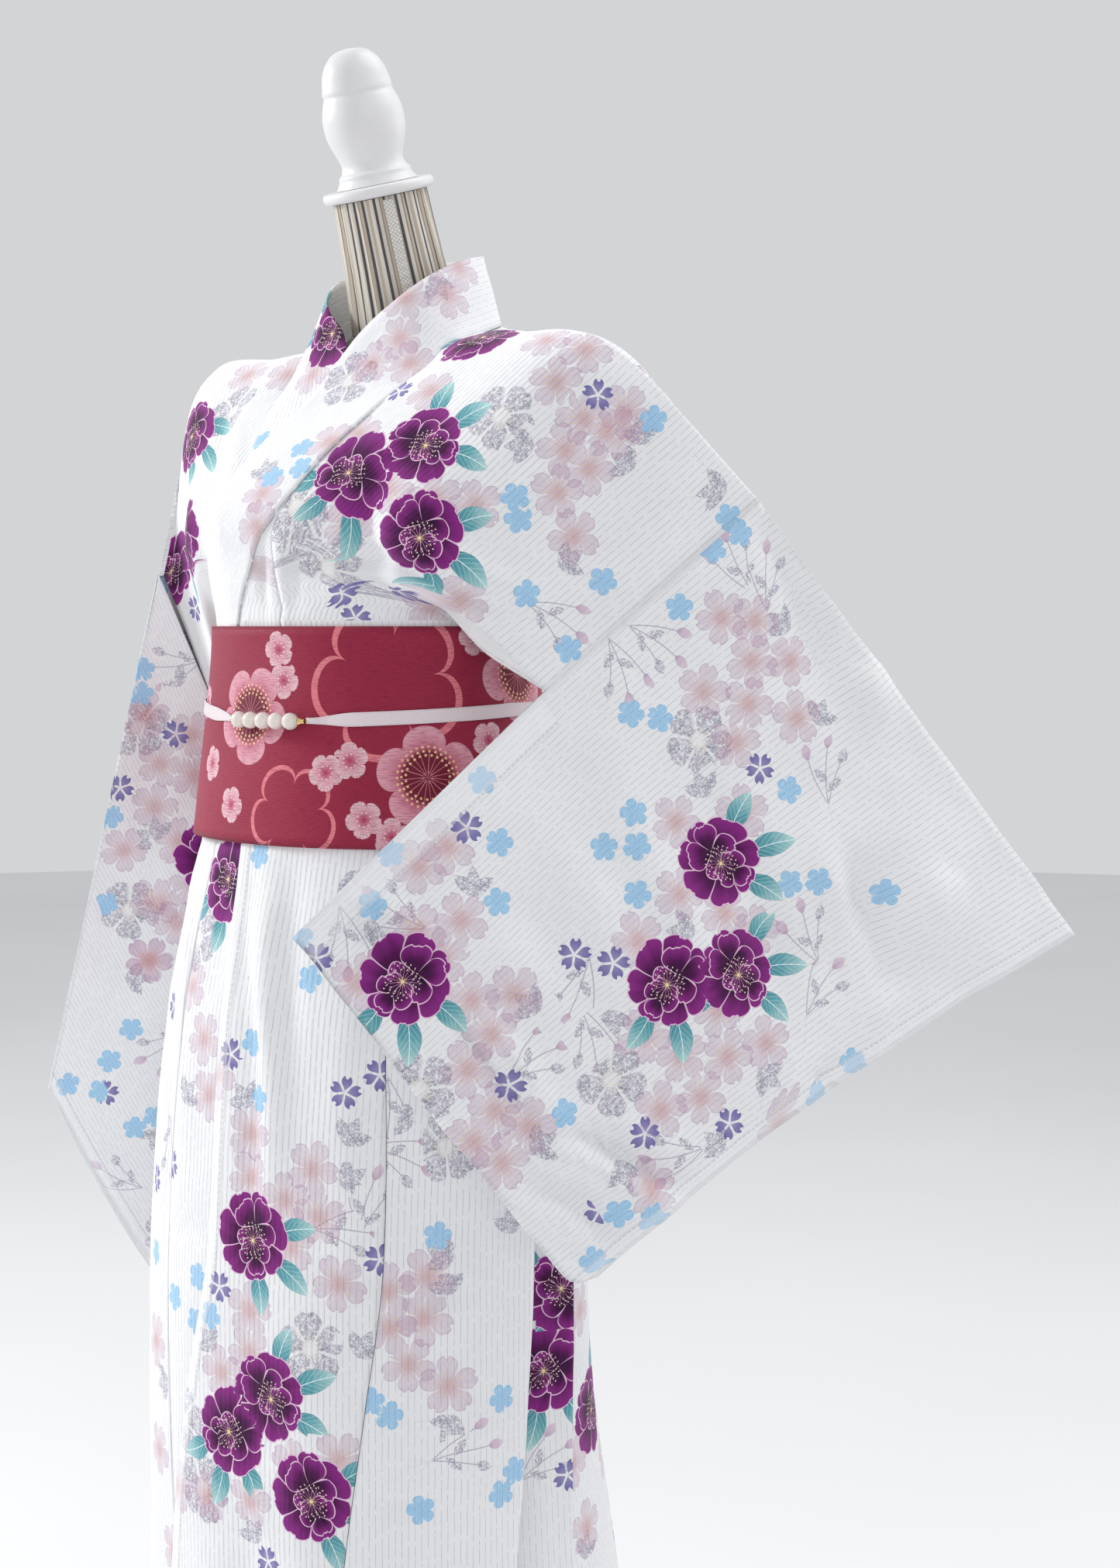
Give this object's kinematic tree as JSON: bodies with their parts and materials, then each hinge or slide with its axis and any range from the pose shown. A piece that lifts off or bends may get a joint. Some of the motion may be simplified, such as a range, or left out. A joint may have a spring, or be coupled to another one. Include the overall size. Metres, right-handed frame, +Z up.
{
  "type": "yukata robe on dress form",
  "caption": "Floral cotton summer robe with wide hanging sleeves and a stiff crimson belt, worn by a limbless dress form on a round stand.",
  "frame": {"origin": "middle of the stand's underside, where it rests on the floor", "axes": "+Z up, the garment faces -Y, +X is the wearer's left"},
  "size_m": [0.6997, 0.4885, 1.5667],
  "materials": {
    "printed_cotton": "matt plain-weave cotton with dashed stripes and printed blossoms",
    "obi_crimson": "stiff ribbed weave with woven plum blossoms",
    "ribbon_white": "satin ribbon",
    "pearl": "pearly lustre",
    "gold_cap": "polished",
    "form_linen": "matt striped linen",
    "white_wood": "satin paint",
    "braid": "woven braid",
    "white_metal": "satin paint"
  },
  "bodies": {
    "root": {"body_left": "printed_cotton", "body_right": "printed_cotton", "okumi_left": "printed_cotton", "okumi_right": "printed_cotton", "sleeve_left": "printed_cotton", "sleeve_right": "printed_cotton", "collar": "printed_cotton", "obi": "obi_crimson", "obijime_ribbon": "ribbon_white", "pearl_1": "pearl", "pearl_2": "pearl", "pearl_3": "pearl", "pearl_4": "pearl", "pearl_5": "pearl", "cap_right": "gold_cap", "cap_left": "gold_cap", "form_torso": "form_linen", "form_neck": "form_linen", "form_disc": "white_wood", "form_finial": "white_wood", "form_braid": "braid", "stand_base": "white_wood", "stand_hub": "white_wood", "stand_pole": "white_metal"}
  },
  "joints": []
}
